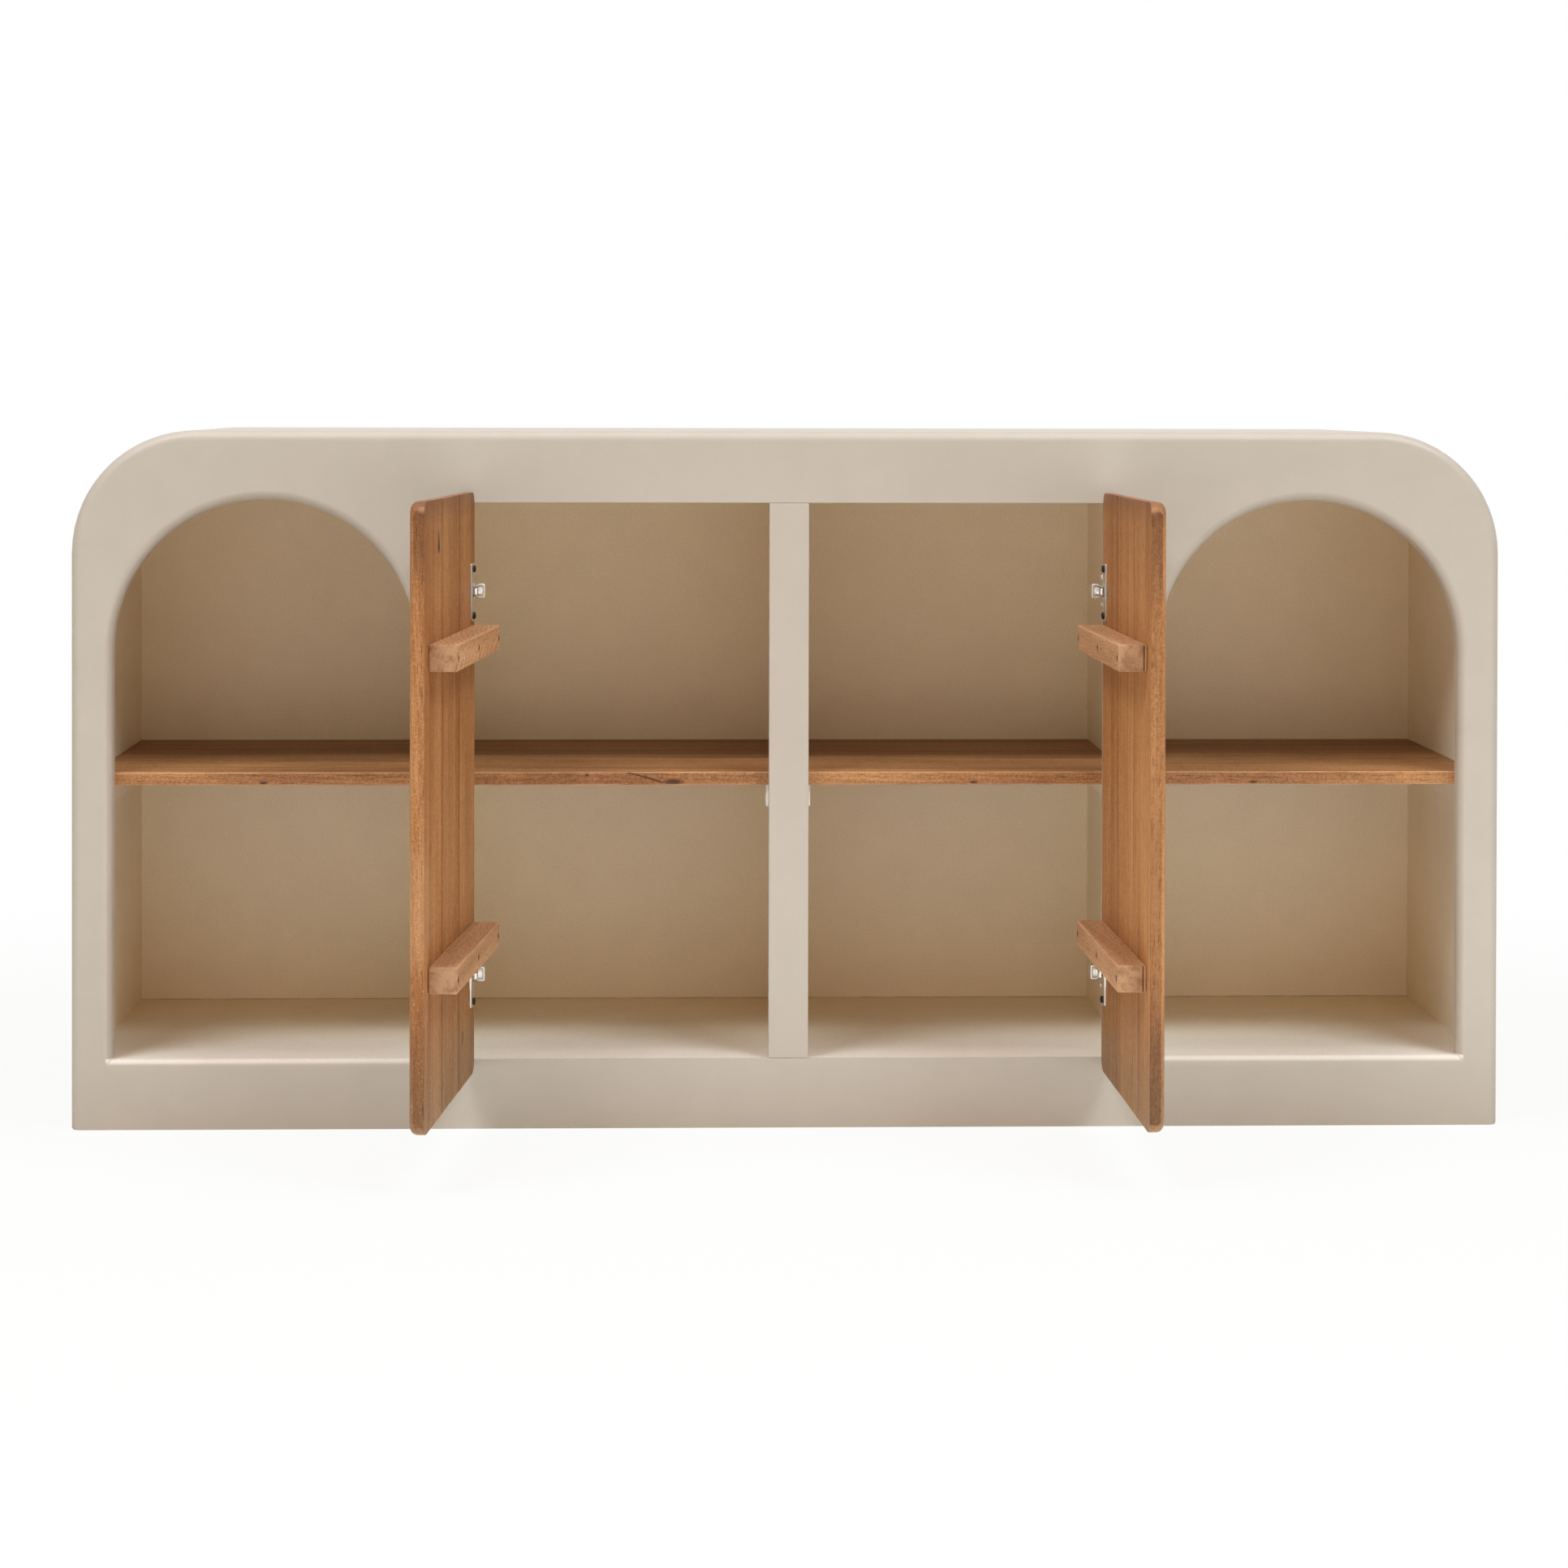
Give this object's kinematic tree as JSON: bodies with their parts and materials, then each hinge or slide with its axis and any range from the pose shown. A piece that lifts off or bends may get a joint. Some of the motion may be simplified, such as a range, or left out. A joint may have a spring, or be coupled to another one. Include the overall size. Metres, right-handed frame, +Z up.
{
  "type": "sideboard",
  "caption": "Low painted sideboard with rounded top corners, an arched open niche at each end, hinged wooden doors over the middle bays, and wooden shelves.",
  "frame": {"origin": "on the floor under the middle of the carcass, in the underside of the centre plinth bearer", "axes": "+X to the right seen from the front, +Y to the back, +Z up; the doors swing out towards -Y"},
  "size_m": [1.6, 0.7884, 0.78],
  "materials": {
    "cream_paint": "satin paint",
    "back_paint": "satin paint",
    "door_wood": "oiled",
    "batten_wood": "oiled",
    "shelf_wood": "oiled",
    "nickel": "satin",
    "dark_screw": "satin"
  },
  "bodies": {
    "root": {"back_panel": "back_paint", "back_panel_screws": "dark_screw", "bottom_panel": "cream_paint", "centre_partition": "cream_paint", "centre_plinth_bearer": "cream_paint", "centre_stile": "cream_paint", "front_frame": "cream_paint", "hinge_plate_screws": "nickel", "left_bay_left_cleat": "cream_paint", "left_bay_right_cleat": "cream_paint", "left_bay_shelf": "shelf_wood", "left_lower_hinge_arm": "nickel", "left_lower_hinge_plate": "nickel", "left_niche_left_cleat": "cream_paint", "left_niche_right_cleat": "cream_paint", "left_niche_shelf": "shelf_wood", "left_partition": "cream_paint", "left_plinth_bearer": "cream_paint", "left_side_panel": "cream_paint", "left_top_corner": "cream_paint", "left_upper_hinge_arm": "nickel", "left_upper_hinge_plate": "nickel", "rear_plinth_rail": "cream_paint", "right_bay_left_cleat": "cream_paint", "right_bay_right_cleat": "cream_paint", "right_bay_shelf": "shelf_wood", "right_lower_hinge_arm": "nickel", "right_lower_hinge_plate": "nickel", "right_niche_left_cleat": "cream_paint", "right_niche_right_cleat": "cream_paint", "right_niche_shelf": "shelf_wood", "right_partition": "cream_paint", "right_plinth_bearer": "cream_paint", "right_side_panel": "cream_paint", "right_top_corner": "cream_paint", "right_upper_hinge_arm": "nickel", "right_upper_hinge_plate": "nickel", "top_panel": "cream_paint"},
    "left_door": {"left_door_batten_screws": "dark_screw", "left_door_cup_screws": "dark_screw", "left_door_hinge_pins": "nickel", "left_door_hinge_stave": "door_wood", "left_door_lower_batten": "batten_wood", "left_door_lower_hinge_cup": "nickel", "left_door_meeting_stave": "door_wood", "left_door_middle_stave": "door_wood", "left_door_upper_batten": "batten_wood", "left_door_upper_hinge_cup": "nickel"},
    "right_door": {"right_door_batten_screws": "dark_screw", "right_door_cup_screws": "dark_screw", "right_door_hinge_pins": "nickel", "right_door_hinge_stave": "door_wood", "right_door_lower_batten": "batten_wood", "right_door_lower_hinge_cup": "nickel", "right_door_meeting_stave": "door_wood", "right_door_middle_stave": "door_wood", "right_door_upper_batten": "batten_wood", "right_door_upper_hinge_cup": "nickel"}
  },
  "joints": [
    {"name": "left_door_hinge", "type": "hinge", "parent": "root", "child": "left_door", "pos_m": [-0.3605, -0.2195, 0.3875], "axis": [0, 0, 1], "range_deg": [-15.1, 94.9]},
    {"name": "right_door_hinge", "type": "hinge", "parent": "root", "child": "right_door", "pos_m": [0.3605, -0.2195, 0.3875], "axis": [0, 0, 1], "range_deg": [-91, 19]}
  ]
}
